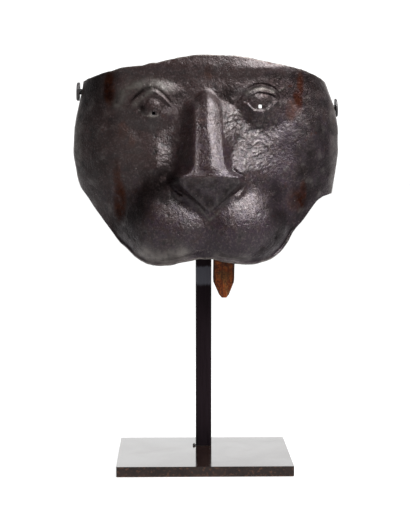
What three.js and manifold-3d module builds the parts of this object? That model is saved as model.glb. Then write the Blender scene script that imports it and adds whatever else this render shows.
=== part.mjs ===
// Lion-faced iron guard mask on a plain display stand.
// Millimetres, +Z up, the face looks along -Y. The origin is the centre of the
// base plate's underside.
import * as THREE from 'three';
import { mergeVertices } from 'three/addons/utils/BufferGeometryUtils.js';
import Module from 'manifold-3d';

const wasm = await Module();
wasm.setup();

// ---------------------------------------------------------------- dimensions
// stand
const BASE_W = 120, BASE_D = 100, BASE_T = 7, BASE_EDGE = 0.7;
const POST_X0 = -5.2, POST_X1 = 5.95, POST_Y0 = 19, POST_Y1 = 30;
const POST_TOP = 256, POST_EDGE = 1.0, GAP = 0.3;
const BAR_Z0 = 236.5, BAR_Z1 = 246.5, BAR_Y0 = 13.2, BAR_Y1 = 18.7, BAR_CLEAR = 0.8;
// plate
const MASK_X = 2.2;          // centre line of the face
const WALL = 1.8;            // iron thickness
const REAR_Y = 46, DEPTH = 48, WRAP = 2.35, TUCK = 0.045;   // the rear edges curl in by TUCK
const SIGHT_R = 1.6;         // pierced sight holes
// side studs
const STUD_DISC_R = 6.6, STUD_NECK_R = 2.0;
// side, y, z, disc thickness, clearance to the wall, tilt in degrees
const STUD_L = [-1, 37.5, 260.9, 2.2, 0.6, 2], STUD_R = [1, 37.5, 249.4, 1.4, 0.3, 4];
// strap
const STRAP_W = 14.9, STRAP_T = 2.4, STRAP_X = 14.0;
const STRAP_TAPER = 127.8, STRAP_TIP = 116.1;
// centre line of the strap, down the inside of the muzzle and out below the chin: [y, z]
const STRAP_PATH = [[-16.5, 170], [-16.1, 163.5], [-14.7, 158], [-12.3, 153], [-10.1, 149], [-7.6, 145.5], [-5.2, 142],
  [-2.6, 138], [-0.2, 133], [0.8, 127.4], [1.0, 121.5], [1.0, STRAP_TIP]];
const RIVET_Z = 163.5;
const RIVET_R = 1.3;

// half widths of the wrap, left and right, against height
const ZA = [130, 150, 160, 170, 180, 187, 193, 204, 220, 232, 240, 248, 256, 262, 268, 280, 290];
const AL = [68.1, 75.3, 79.4, 83.6, 87.5, 90.2, 92.6, 95.8, 97.8, 97.0, 95.9, 94.3, 92.4, 91.0, 89.9, 87.0, 84.5];
const AR = [68.1, 75.3, 80.5, 86.0, 91.0, 93.4, 94.6, 96.4, 98.3, 97.9, 97.1, 95.4, 92.7, 90.4, 88.0, 84.1, 81.5];
// outline of the plate, from the left rear edge (-1) round the front to the right rear edge (1)
const KK = [-1, -0.95, -0.9, -0.85, -0.8, -0.75, -0.7, -0.65, -0.6, -0.575, -0.55, -0.5, -0.45, -0.4, -0.35, -0.3, -0.25, -0.2, -0.15, -0.1, -0.05,
  0, 0.05, 0.1, 0.15, 0.2, 0.25, 0.3, 0.35, 0.4, 0.45, 0.48, 0.51, 0.53, 0.55, 0.6, 0.625, 0.65, 0.7, 0.75, 0.8, 0.85, 0.9, 0.95, 1];
const ZTOP = [268.6, 268.4, 268.1, 267.9, 268.3, 269.3, 270.1, 271.4, 272.5, 273.0, 273.5, 274.7, 276.0, 276.9, 277.5, 278.0, 279.0, 280.4, 281.8, 283.4, 284.6,
  284.8, 284.7, 284.3, 283.6, 282.7, 281.6, 280.1, 279.1, 278.3, 277.2, 276.6, 276.0, 275.6, 275.2, 273.9, 273.2, 272.6, 271.2, 269.8, 268.4, 267.3, 266.8, 266.7, 266.8];
const ZBOT = [201, 199.6, 197.6, 194.8, 190.6, 184.8, 177.9, 170.4, 162.0, 157.3, 154.0, 150.4, 145.7, 142.3, 140.3, 139.3, 139.0, 139.5, 140.7, 142.0, 143.3,
  144.2, 142.9, 141.6, 140.5, 140, 139.9, 140.5, 141.7, 143.3, 147.1, 151.2, 161.0, 165.7, 169.0, 180.6, 183.7, 185.1, 186.6, 187.5, 188.0, 188.4, 188.6, 188.4, 188.0];
// nose ridge and nose pad: height, half width, extra half width and flank slopes against z
const NZ = [150, 170, 176, 188, 199.6, 200.6, 206, 212, 225, 240, 250, 255, 258, 261, 266];
const NH = [9, 15.6, 17.9, 23.2, 29.2, 29.6, 28.5, 26.3, 20.3, 14, 10.5, 7.8, 4.5, -1, -9];
const WZ = [150, 175.6, 181, 188, 194, 198, 200.6, 203, 206, 209, 213, 222, 235, 250, 262];
const WW = [0, 0.3, 4.6, 11.6, 17.4, 19.6, 19.8, 15.8, 11.4, 9.2, 8.0, 7.4, 7.0, 7.0, 5.4];
const NWZ = [203, 210, 216, 224, 234, 244], NW = [0, 1.9, 2.1, 1.6, 0.7, 0.0];
const NKZ = [178, 188, 197, 200.6, 203.5, 208, 215, 228, 238, 246, 252, 257, 262];
const NKL = [1.3, 1.7, 2.6, 4.0, 2.6, 1.9, 1.7, 1.55, 1.45, 1.45, 1.5, 1.7, 1.7];
const NKR = [1.5, 2.0, 2.8, 4.0, 3.6, 3.2, 2.4, 1.1, 0.78, 0.80, 1.1, 1.8, 2.0];
const NCZ = [176, 200, 225, 246, 259], NC = [1.6, 1.0, 0.6, 0.6, -0.6];
// back of the ridge: where its facets begin to turn away
const TURN1_Z = [204, 210, 220, 226, 236, 248, 256], TURN1 = [-0.2, -0.8, -0.6, 0.0, 1.5, 1.2, 0.5];
const TURN2_Z = [204, 208, 215, 225, 235, 246, 256], TURN2 = [6.5, 6.0, 4.6, 3.0, 2.4, 3.2, 4.0];
// line where the brow band begins
const BAND_U = [-90, -57, -32, 0, 30, 50, 65, 90], BAND_Z = [272, 273, 272.5, 271.2, 271.2, 271.6, 270.4, 267];
// cheek crest beside the nose on the right, brow roll on the left, folds outside the lobes, nostril wings
const CHEEK_Z = [195, 205, 216, 228, 240], CHEEK_V = [25, 21, 17, 13, 11];
const ROLL_V = [16, 24, 36.6, 52, 60.5, 66], ROLL_Z = [254, 258.5, 264.0, 261.5, 256, 248];
const FOLD_L = [[-61, 158], [-52, 174], [-45, 188], [-36, 195], [-29, 199]];
const FOLD_R = [[60, 163], [57, 171], [51, 182], [44, 190]];
const WING = [[19.0, 206.5], [23.4, 203], [25.2, 198], [23.6, 192], [20.0, 187.5]];
// eyes, as curves over v, the distance from the centre line: crease of the lid, upper margin, lower margin
const EYES = [
  { sd: -1, vc: [20, 24, 28, 32.6, 37.7, 42.7, 46.8, 53.7, 58], zc: [246, 250.4, 255.5, 259.5, 262.0, 261.0, 258.4, 252, 247],
    vm: [20, 24, 29.5, 34.6, 38.7, 41.7, 45.4, 52, 56], zm: [246, 248.9, 252.4, 255.4, 256.0, 254.4, 249.8, 247.3, 245],
    vl: [26, 31.6, 33.6, 38.8, 44.3, 48.4, 53], zl: [248.5, 246.3, 243.2, 242.2, 243.2, 246.5, 248.5],
    ball: [38.2, 248.4, 6.8, 7.6, 1.7], soft: 1.5, v0: 24, v1: 53, l0: 30, l1: 47, lid: 0.9, line: 0.45, low: 0.4, sink: 0.15 },
  { sd: 1, vc: [18, 23.7, 28.3, 33.4, 38, 43.1, 47.2, 52], zc: [251, 257.0, 261.0, 263.6, 264.4, 263.1, 261, 257],
    vm: [20, 25.8, 30.9, 36, 43.6, 49.2, 54], zm: [251, 253.4, 257, 259, 258, 255, 252],
    vl: [22, 27.8, 30.9, 33.9, 38.5, 43.1, 46.2, 52], zl: [253.5, 251.4, 248.4, 246.8, 246.6, 248.4, 251.4, 254.5],
    ball: [38.5, 252.8, 11.5, 6.6, 1.2], soft: 0.8, v0: 22, v1: 50, l0: 25, l1: 49, lid: 1.4, line: 0.8, low: 1.0, sink: 0.8 },
];
const SIGHTS = [[-37.0, 244.5], [37.0, 249.4]];

// ------------------------------------------------------------------ helpers
const clamp = (x, a, b) => Math.min(Math.max(x, a), b);
const g = (a, s) => Math.exp(-(a / s) * (a / s));
function sstep(a, b, x) { const t = clamp((x - a) / (b - a), 0, 1); return t * t * (3 - 2 * t); }
function smax(a, b, k) { const h = clamp(0.5 + 0.5 * (a - b) / k, 0, 1); return b * (1 - h) + a * h + k * h * (1 - h); }
const slopes = new Map();
function csp(x, xs, ys) {
  let m = slopes.get(ys);
  if (!m) {
    const d = []; for (let i = 0; i < xs.length - 1; i++) d.push((ys[i + 1] - ys[i]) / (xs[i + 1] - xs[i]));
    m = ys.map((_, i) => i === 0 ? d[0] : i === ys.length - 1 ? d[d.length - 1]
      : d[i - 1] * d[i] <= 0 ? 0 : 2 * d[i - 1] * d[i] / (d[i - 1] + d[i]));
    slopes.set(ys, m);
  }
  x = clamp(x, xs[0], xs[xs.length - 1]);
  let i = 0; while (i < xs.length - 2 && x >= xs[i + 1]) i++;
  const h = xs[i + 1] - xs[i], t = (x - xs[i]) / h, t2 = t * t, t3 = t2 * t;
  return (2 * t3 - 3 * t2 + 1) * ys[i] + (t3 - 2 * t2 + t) * h * m[i] + (-2 * t3 + 3 * t2) * ys[i + 1] + (t3 - t2) * h * m[i + 1];
}
const lerpTab = (x, xs, ys) => {
  x = clamp(x, xs[0], xs[xs.length - 1]);
  let i = 0; while (i < xs.length - 2 && x >= xs[i + 1]) i++;
  return ys[i] + (ys[i + 1] - ys[i]) * (x - xs[i]) / (xs[i + 1] - xs[i]);
};

// ------------------------------------------------------- shape of the face
const half = (z, s) => csp(z, ZA, s > 0 ? AR : AL);
function wrapY(u, z) {
  const q = clamp(Math.abs(u) / half(z, u), 0, 1);
  return REAR_Y - DEPTH * Math.pow(Math.max(0, 1 - Math.pow(q, WRAP)), 1 / WRAP);
}
function noseH(u, z) {
  const a = u - csp(z, NCZ, NC), left = a < 0;
  const w = csp(z, WZ, WW) + (left ? 1.2 * sstep(206, 214, z) : csp(z, NWZ, NW));
  const d = Math.max(0, Math.abs(a) - w), k = csp(z, NKZ, left ? NKL : NKR);
  const up = sstep(200.8, 208, z), r = 0.8 + (left ? 4.0 : 1.6) * up;
  // the back of the ridge: a flat facet on one side, turned away on the other
  const t = clamp(a, -w - 4, w + 3) - 1, bend = x => x + Math.sqrt(x * x + 1);
  const turn = -0.06 * t - 0.12 * bend((t + 7.5) / 1.2) + 0.32 * bend((t + csp(z, TURN1_Z, TURN1)) / 1.2)
    + 0.2625 * bend((t - csp(z, TURN2_Z, TURN2)) / 1.5);
  const zn = z + Math.min(3.2 * (a / 6) ** 2, 7) * sstep(245, 257, z);
  return csp(zn, NZ, NH) - 0.1 * up - up * turn - (Math.hypot(k * d, r) - r);
}
function lobeH(u, z, side) {
  const du = side * u - (side < 0 ? 36 : 19), dz = z - 165.5;
  const q = Math.pow(Math.abs(du / (du > 0 ? (side < 0 ? 28 : 41) : (side < 0 ? 70 : 56))), 1.8)
    + Math.pow(Math.abs(dz / (dz > 0 ? 38 : 34)), 1.7);
  return (q < 1 ? 22 * (1 - q) * (1 + 0.35 * q) : -32 * (q - 1)) - 0.5;
}
const polyDist = (u, z, pts) => {
  let m = 1e9;
  for (let i = 0; i + 1 < pts.length; i++) {
    const [x0, z0] = pts[i], dx = pts[i + 1][0] - x0, dz = pts[i + 1][1] - z0;
    const t = clamp(((u - x0) * dx + (z - z0) * dz) / (dx * dx + dz * dz), 0, 1);
    m = Math.min(m, Math.hypot(u - x0 - t * dx, z - z0 - t * dz));
  }
  return m;
};
const bell = (a, sa, b, sb) => g(a, sa) * g(b, sb);
function eyeH(v, z, e) {
  const zc = csp(v, e.vc, e.zc), zm = csp(v, e.vm, e.zm), zl = csp(v, e.vl, e.zl);
  const win = sstep(e.v0 - 2.5, e.v0 + 3, v) * (1 - sstep(e.v1 - 4, e.v1 + 2.5, v));
  const low = sstep(e.l0 - 2, e.l0 + 3, v) * (1 - sstep(e.l1 - 4, e.l1 + 1.5, v));
  const [bv, bz, rx, rz, bh] = e.ball;
  let h = bh * Math.pow(clamp(1 - ((v - bv) / rx) ** 2 - ((z - bz) / rz) ** 2, 0, 1), e.soft);
  h -= e.sink * sstep(zl - 0.6, zl + 1.4, z) * (1 - sstep(zm - 1.2, zm + 1.0, z)) * win * low;
  h += win * (e.lid * sstep(zm - 1.2, zm + 1.2, z) * (1 - sstep(zc - 2.8, zc + 0.6, z)) - e.line * g(z - (zc + 0.6), 1.6));
  return h + low * e.low * (1 - sstep(zl - 1.4, zl + 1.2, z)) * sstep(zl - 6.4, zl - 1.4, z);
}
function relief(u, z) {
  let h = 0;
  const zb = csp(u, BAND_U, BAND_Z), side = 1 - sstep(62, 84, Math.abs(u));
  h += side * ((1.1 + 0.8 * g(u - 36, 20)) * g(z - (zb + 5), 5.5) - 1.1 * g(z - (zb - 3), 6));      // brow band
  h -= 3.6 * g(u - 41, 15) * sstep(zb + 3.5, zb + 13, z);
  for (const e of EYES) {
    const sd = e.sd, left = sd < 0, v = sd * u, zc0 = left ? 249.5 : 252.5;
    h += (left ? 3.6 : 1.0) * sstep(0, 0.85, 1 - Math.pow(Math.abs(v - 38) / 28, 2.2) - Math.pow(Math.abs(z - (zc0 + 1)) / 19, 2.2));
    h -= (left ? 2.2 : 0.8) * bell(v - 18.5, 7.5, z - zc0 - 1, 10);                               // beside the nose root
    // cheeks, rising from the valley under the eye
    const vi = v - (left ? 35.5 : csp(z, CHEEK_Z, CHEEK_V)), zz = z - 206;
    const top = left ? 38 : v < 36 ? 28 + 0.75 * (36 - clamp(v, 10, 36)) : 28 + 0.35 * clamp(v - 36, 0, 20);
    const prof = zz > 0 ? 1 - sstep(-4 / 33 * top, top, zz) : g(zz, 22) * (1 - sstep(-4, 33, 0));
    h += (left ? 9 : 11.5) * g(vi, vi < 0 ? (left ? 8 : 30) : (left ? 20 : 25)) * prof;
    h += 2.0 * bell(v - 19, 12, z - 208, 20) + 2.5 * bell(v - 66, 16, z - 222, 26);
    const zv = (left ? 229.5 : 231) + (v < 36 ? 0.75 * (36 - v) : 0.40 * (v - 36)) + 1.6 * g(v - 36, 4);
    h -= (1.8 * g(z - zv, 6) - 0.6 * g(z - zv + 10, 7)) * sstep(14, 24, v) * (1 - sstep(48, 64, v)) * (left ? 0.6 : 1);
    const b = z - zc0, ra = (left ? 19 : 17) - 3 * sstep(-3, 6, b), rb = b > 0 ? (left ? 13 : 11) : (left ? 24 : 19);
    h += (left ? 1.6 : 4.2) * (1 - Math.pow(sstep(0, 1.15, ((v - 38) / ra) ** 2 + (b / rb) ** 2), 0.8));
    h += eyeH(v, z, e);
  }
  h += g(z - csp(-u, ROLL_V, ROLL_Z), 3.6) * sstep(22, 38, -u) * (1 - sstep(60, 72, -u));
  // muzzle: two lobes, the bridge between them and the nose, the cleft, the nose
  const lobes = smax(lobeH(u, z, -1), lobeH(u, z, 1), 3);
  const bridge = 27 * bell(u - 0.9, 27, z - 192, 22) - 2;
  h = smax(h, smax(lobes, bridge, 6), 5 + 5 * sstep(172, 190, z));
  h -= 1.9 * g(u - 0.2, 6.5) * (1 - sstep(170, 180, z));
  h = smax(h, noseH(u, z), 1.2 + 4.5 * sstep(201, 210, z) + 3.5 * sstep(2, 10, u) * sstep(204, 212, z) * (1 - sstep(232, 244, z)));
  h += 4.2 * bell(u + 26.5, 5, z - 192.5, 6.5);
  h -= 1.6 * g(polyDist(u, z, FOLD_L), 7) + 1.2 * g(polyDist(u, z, FOLD_R), 6);
  for (const sd of [-1, 1]) h += (sd < 0 ? 1.6 : 1.2) * g(polyDist(sd * (u - 1), z, WING), 2.2);
  return h;
}
const faceY = (u, z) => wrapY(u, z) - relief(u, z) * (1 - sstep(72, 88, Math.abs(u)));
const sx = k => Math.sign(k) * Math.pow(Math.abs(Math.sin(k * Math.PI / 2)), 2 / WRAP);

// --------------------------------------------------- sheet-metal face plate
// columns: even in arc length, closer where the eyes and the nose are
function columns(n) {
  const N = 1600, ks = [], acc = [0];
  for (let i = 0; i <= N; i++) ks.push(-1 + 2 * i / N);
  for (let i = 1; i <= N; i++) {
    const a = sx(ks[i - 1]) * 94, b = sx(ks[i]) * 94;
    const ds = Math.hypot(a - b, wrapY(a, 222) - wrapY(b, 222));
    const m = Math.abs((a + b) / 2);
    const w = m < 20 ? 1.25 : m < 54 ? 1.45 : m < 66 ? 1.0 : 0.55;
    acc.push(acc[i - 1] + ds * w);
  }
  const out = [];
  for (let j = 0; j <= n; j++) {
    const t = acc[N] * j / n; let i = 1; while (i < N && acc[i] < t) i++;
    const f = (t - acc[i - 1]) / (acc[i] - acc[i - 1]);
    out.push(ks[i - 1] + (ks[i] - ks[i - 1]) * clamp(f, 0, 1));
  }
  return out;
}
const KS = columns(56);
const LOW = 12, MID = 8, EYE = 9, TOPN = 5;           // rows in each band of height
const Z1 = 200.6, Z2 = 234, Z3 = 262;
function rowsAt(k) {
  const zb = csp(k, KK, ZBOT), zt = csp(k, KK, ZTOP), r = [];
  for (let i = 0; i < LOW; i++) r.push(zb + (Math.max(Z1, zb + 4) - zb) * i / LOW);
  const a = Math.max(Z1, zb + 4);
  for (let i = 0; i < MID; i++) r.push(a + (Z2 - a) * i / MID);
  for (let i = 0; i < EYE; i++) r.push(Z2 + (Z3 - Z2) * i / EYE);
  for (let i = 0; i <= TOPN; i++) r.push(Z3 + (zt - Z3) * i / TOPN);
  return r;
}
const tuck = k => Math.sign(k) * TUCK * sstep(0.8, 1, Math.abs(k));
const outerPt = (k, z) => {
  const u = sx(k) * half(z, k);
  return new THREE.Vector3(u + MASK_X - tuck(k) * half(z, k), faceY(u, z), z);
};
function plateGeometry() {
  const nu = KS.length, P = KS.map(k => rowsAt(k).map(z => outerPt(k, z))), nv = P[0].length;
  // vertex normals, smoothed over neighbours, pointing out of the face
  let Nn = P.map((col, i) => col.map((_, j) => {
    const a = P[Math.min(i + 1, nu - 1)][j], b = P[Math.max(i - 1, 0)][j];
    const c = P[i][Math.min(j + 1, nv - 1)], d = P[i][Math.max(j - 1, 0)];
    return a.clone().sub(b).cross(c.clone().sub(d)).normalize();
  }));
  for (let pass = 0; pass < 2; pass++) {
    Nn = Nn.map((col, i) => col.map((n, j) => {
      const s = n.clone().multiplyScalar(2);
      for (const [a, b] of [[1, 0], [-1, 0], [0, 1], [0, -1]]) {
        const q = Nn[clamp(i + a, 0, nu - 1)][clamp(j + b, 0, nv - 1)]; s.add(q);
      }
      return s.normalize();
    }));
  }
  // inner wall: the offset sheet, eased so that the hammered inside is softer than the outside
  let Q = P.map((col, i) => col.map((p, j) => p.clone().addScaledVector(Nn[i][j], -WALL)));
  for (let pass = 0; pass < 3; pass++) {
    Q = Q.map((col, i) => col.map((q, j) => {
      if (i === 0 || j === 0 || i === nu - 1 || j === nv - 1) return q;
      const s = Q[i + 1][j].clone().add(Q[i - 1][j]).add(Q[i][j + 1]).add(Q[i][j - 1]).multiplyScalar(0.25);
      const m = q.clone().lerp(s, 0.5), off = P[i][j].clone().sub(m), along = off.dot(Nn[i][j]);
      return m.addScaledVector(Nn[i][j], along - clamp(along, WALL * 0.8, WALL * 1.5));
    }));
  }
  const pos = [], idx = [], id = (s, i, j) => s * nu * nv + i * nv + j;
  for (const grid of [P, Q]) for (const col of grid) for (const q of col) pos.push(q.x, q.y, q.z);
  // each quad is split along its shorter diagonal, so creases run cleanly
  const far = (a, b) => Math.hypot(pos[3 * a] - pos[3 * b], pos[3 * a + 1] - pos[3 * b + 1], pos[3 * a + 2] - pos[3 * b + 2]);
  const quad = (a, b, c, d) => (far(a, c) <= far(b, d) ? idx.push(a, b, c, a, c, d) : idx.push(a, b, d, b, c, d));
  for (let i = 0; i < nu - 1; i++) for (let j = 0; j < nv - 1; j++) {
    quad(id(0, i, j), id(0, i + 1, j), id(0, i + 1, j + 1), id(0, i, j + 1));
    quad(id(1, i, j), id(1, i, j + 1), id(1, i + 1, j + 1), id(1, i + 1, j));
  }
  for (let i = 0; i < nu - 1; i++) {
    quad(id(0, i, 0), id(1, i, 0), id(1, i + 1, 0), id(0, i + 1, 0));
    quad(id(0, i, nv - 1), id(0, i + 1, nv - 1), id(1, i + 1, nv - 1), id(1, i, nv - 1));
  }
  for (let j = 0; j < nv - 1; j++) {
    quad(id(0, 0, j), id(0, 0, j + 1), id(1, 0, j + 1), id(1, 0, j));
    quad(id(0, nu - 1, j), id(1, nu - 1, j), id(1, nu - 1, j + 1), id(0, nu - 1, j + 1));
  }
  const geo = new THREE.BufferGeometry();
  geo.setAttribute('position', new THREE.Float32BufferAttribute(pos, 3));
  geo.setIndex(idx);
  return geo;
}

// ----------------------------------------------------------- solid helpers
function solid(geometry) {
  let q = geometry.clone();
  for (const n of Object.keys(q.attributes)) if (n !== 'position') q.deleteAttribute(n);
  q = mergeVertices(q, 1e-4);
  const src = q.index.array, p = q.attributes.position.array, tri = [];
  for (let i = 0; i < src.length; i += 3) {
    if (src[i] !== src[i + 1] && src[i + 1] !== src[i + 2] && src[i] !== src[i + 2]) tri.push(src[i], src[i + 1], src[i + 2]);
  }
  return new wasm.Manifold(new wasm.Mesh({ numProp: 3, vertProperties: Float32Array.from(p), triVerts: Uint32Array.from(tri) }));
}
function geometryOf(man) {
  const m = man.getMesh(), v = m.vertProperties, np = m.numProp, pos = new Float32Array(m.numVert * 3);
  for (let i = 0; i < m.numVert; i++) for (let c = 0; c < 3; c++) pos[3 * i + c] = v[i * np + c];
  const geo = new THREE.BufferGeometry();
  geo.setAttribute('position', new THREE.BufferAttribute(pos, 3));
  geo.setIndex(new THREE.BufferAttribute(Uint32Array.from(m.triVerts), 1));
  return geo;
}
function rod(r, from, to, seg = 16) {
  const a = new THREE.Vector3(...from), b = new THREE.Vector3(...to), d = b.clone().sub(a);
  const geo = new THREE.CylinderGeometry(r, r, d.length(), seg);
  geo.applyQuaternion(new THREE.Quaternion().setFromUnitVectors(new THREE.Vector3(0, 1, 0), d.clone().normalize()));
  geo.translate((a.x + b.x) / 2, (a.y + b.y) / 2, (a.z + b.z) / 2);
  return geo;
}
// a box with its long edges eased
function easedBox(x0, x1, y0, y1, z0, z1, e) {
  const s = new THREE.Shape();
  s.moveTo(x0 + e, y0); s.lineTo(x1 - e, y0); s.lineTo(x1, y0 + e); s.lineTo(x1, y1 - e);
  s.lineTo(x1 - e, y1); s.lineTo(x0 + e, y1); s.lineTo(x0, y1 - e); s.lineTo(x0, y0 + e); s.closePath();
  const geo = new THREE.ExtrudeGeometry(s, { depth: z1 - z0, bevelEnabled: false });
  geo.translate(0, 0, z0);
  return geo;
}
const group = new THREE.Group();
group.name = 'lion_mask_on_stand';
function add(name, geometry, colour, metalness, roughness) {
  geometry.computeVertexNormals();
  const mesh = new THREE.Mesh(geometry, new THREE.MeshStandardMaterial({ color: colour, metalness, roughness }));
  mesh.name = name;
  group.add(mesh);
  return mesh;
}

// ------------------------------------------------------------- face plate
let plate = solid(plateGeometry());
for (const [u, z] of SIGHTS) {
  plate = plate.subtract(solid(rod(SIGHT_R, [u + MASK_X, -30, z], [u + MASK_X, 20, z])));
}
// side studs: a flat disc outside, a shank through the wall, a small head inside
function stud([side, y, z, thick, lift, lean]) {
  const tilt = lean * Math.PI / 180;
  const ax = new THREE.Vector3(side * Math.cos(tilt), 0, Math.sin(tilt));
  // wall point: where the wall passes the stud's y at its height
  let wallX = MASK_X;
  for (let t = 0.4; t <= 1; t += 0.0005) { const q = outerPt(side * t, z); if (q.y <= y) wallX = q.x; }
  const p0 = new THREE.Vector3(wallX, y, z);
  // clearance needed so that the whole disc stays off the wall
  let need = 0;
  for (let kk = 0.4; kk <= 1.0001; kk += 0.01) for (let zz = z - 7.5; zz <= z + 7.5; zz += 0.5) {
    const q = outerPt(side * Math.min(kk, 1), zz), rel = q.sub(p0), along = rel.dot(ax);
    if (rel.addScaledVector(ax, -along).length() < STUD_DISC_R + 0.4) need = Math.max(need, along);
  }
  const h0 = need + lift;                    // disc's inner face, from the wall point
  const prof = [[0, h0 + thick], [STUD_DISC_R - 0.5, h0 + thick], [STUD_DISC_R, h0 + thick - 0.5],
    [STUD_DISC_R, h0 + 0.3], [STUD_DISC_R - 0.3, h0], [STUD_NECK_R, h0], [STUD_NECK_R, -4.6], [3.6, -4.6], [3.6, -5.6], [2.6, -6.2], [0, -6.2]];
  const pts = prof.reverse().map(([r, h]) => new THREE.Vector2(r, h));
  const geo = new THREE.LatheGeometry(pts, 24);
  geo.applyQuaternion(new THREE.Quaternion().setFromUnitVectors(new THREE.Vector3(0, 1, 0), ax));
  geo.translate(p0.x, p0.y, p0.z);
  const a = p0.clone().addScaledVector(ax, -8), b = p0.clone().addScaledVector(ax, 8);
  plate = plate.subtract(solid(rod(STUD_NECK_R + GAP, a.toArray(), b.toArray(), 24)));
  return geometryOf(solid(geo));
}
const studL = stud(STUD_L), studR = stud(STUD_R);

// -------------------------------------------------------------------- strap
// a flat leather tab: riveted inside the muzzle, hanging out below it to a blunt point
function strapGeometry() {
  const curve = new THREE.CatmullRomCurve3(STRAP_PATH.map(([y, z]) => new THREE.Vector3(0, y, z)), false, 'centripetal');
  const n = 26, pts = [], w = [];
  for (let i = 0; i <= n; i++) {
    const p = curve.getPointAt(i / n), t = curve.getTangentAt(i / n);
    pts.push([p, new THREE.Vector3(0, t.z, -t.y)]);          // in-plane normal
    let a = -STRAP_W / 2, b = STRAP_W / 2;
    if (p.z < STRAP_TAPER) { const f = (STRAP_TAPER - p.z) / (STRAP_TAPER - STRAP_TIP); a += 5.2 * f; b -= 4.6 * f; }
    if (p.z < STRAP_TIP + 1) { const f = STRAP_TIP + 1 - p.z; a += 0.9 * f * f; b -= 0.9 * f * f; }
    if (p.z > 168) { const f = (p.z - 168) / 2; a += 2 * f * f; b -= 2 * f * f; }
    w.push([a, b]);
  }
  const pos = [], idx = [], h = STRAP_T / 2, e = 0.5;
  for (let i = 0; i <= n; i++) {
    const [p, q] = pts[i], [a, b] = w[i];
    for (const [x, o] of [[a, -h + e], [a + e, -h], [b - e, -h], [b, -h + e], [b, h - e], [b - e, h], [a + e, h], [a, h - e]]) {
      pos.push(STRAP_X + x, p.y + q.y * o, p.z + q.z * o);
    }
  }
  for (let i = 0; i < n; i++) for (let c = 0; c < 8; c++) {
    const d = (c + 1) % 8, A = i * 8 + c, B = i * 8 + d, C = (i + 1) * 8 + d, D = (i + 1) * 8 + c;
    idx.push(A, B, C, A, C, D);
  }
  for (let c = 1; c < 7; c++) { idx.push(0, c + 1, c); idx.push(n * 8, n * 8 + c, n * 8 + c + 1); }
  const geo = new THREE.BufferGeometry();
  geo.setAttribute('position', new THREE.Float32BufferAttribute(pos, 3));
  geo.setIndex(idx);
  return geo;
}
let strap = solid(strapGeometry());
// rivet: through the plate and the strap, flush outside, small flat head inside
const RU = STRAP_X - MASK_X, RZ = RIVET_Z;
const ry = faceY(RU, RZ);
const rn = new THREE.Vector3(0, -1, -0.14).normalize();
const rAt = d => new THREE.Vector3(STRAP_X, ry, RZ).addScaledVector(rn, d);
plate = plate.subtract(solid(rod(RIVET_R + GAP, rAt(-14).toArray(), rAt(8).toArray())));
strap = strap.subtract(solid(rod(RIVET_R + GAP, rAt(-20).toArray(), rAt(8).toArray())));

// -------------------------------------------------------------------- stand
const base = solid(easedBox(-BASE_W / 2, BASE_W / 2, -BASE_D / 2, BASE_D / 2, 0, BASE_T, BASE_EDGE));
const post = solid(easedBox(POST_X0, POST_X1, POST_Y0, POST_Y1, BASE_T + GAP, POST_TOP, POST_EDGE));
// cross bar: as long as the inside of the plate allows
function innerX(side) {
  let m = 1e9;
  for (const z of [BAR_Z0, (BAR_Z0 + BAR_Z1) / 2, BAR_Z1]) {
    for (let k = 0.3; k <= 1; k += 0.001) {
      const q = outerPt(side * k, z);
      if (q.y > BAR_Y0) { m = Math.min(m, side * (q.x - MASK_X)); break; }
    }
  }
  return m;
}
const barL = MASK_X - innerX(-1) + 1.6 * WALL + BAR_CLEAR, barR = MASK_X + innerX(1) - 1.6 * WALL - BAR_CLEAR;
const bar = solid(easedBox(barL, barR, BAR_Y0, BAR_Y1, BAR_Z0, BAR_Z1, 0.6));

add('face_plate', geometryOf(plate), 0x352e30, 0.75, 0.45);
add('side_stud_left', studL, 0x2b2727, 0.75, 0.45);
add('side_stud_right', studR, 0x2b2727, 0.75, 0.45);
add('chin_strap', geometryOf(strap), 0x6b3b1c, 0.0, 0.65);
{
  // the head sits just behind the strap's back face
  const back = STRAP_PATH[1][0] + STRAP_T / 2 / Math.cos(0.14);
  const inner = -((back - ry) / Math.abs(rn.y) + 0.55);
  const prof = [[0, 0.4], [RIVET_R, 0.25], [RIVET_R, inner], [3.4, inner], [3.4, inner - 0.9], [2.4, inner - 1.5], [0, inner - 1.5]];
  const geo = new THREE.LatheGeometry(prof.reverse().map(([r, h]) => new THREE.Vector2(r, h)), 16);
  geo.applyQuaternion(new THREE.Quaternion().setFromUnitVectors(new THREE.Vector3(0, 1, 0), rn));
  const o = rAt(0); geo.translate(o.x, o.y, o.z);
  add('strap_rivet', geometryOf(solid(geo)), 0x2b2727, 0.75, 0.45);
}
add('stand_base', geometryOf(base), 0x141212, 0.8, 0.2);
add('stand_post', geometryOf(post), 0x0c0c0f, 0.6, 0.35);
add('stand_crossbar', geometryOf(bar), 0x0c0c0f, 0.6, 0.35);
export default group;
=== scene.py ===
import math

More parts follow.
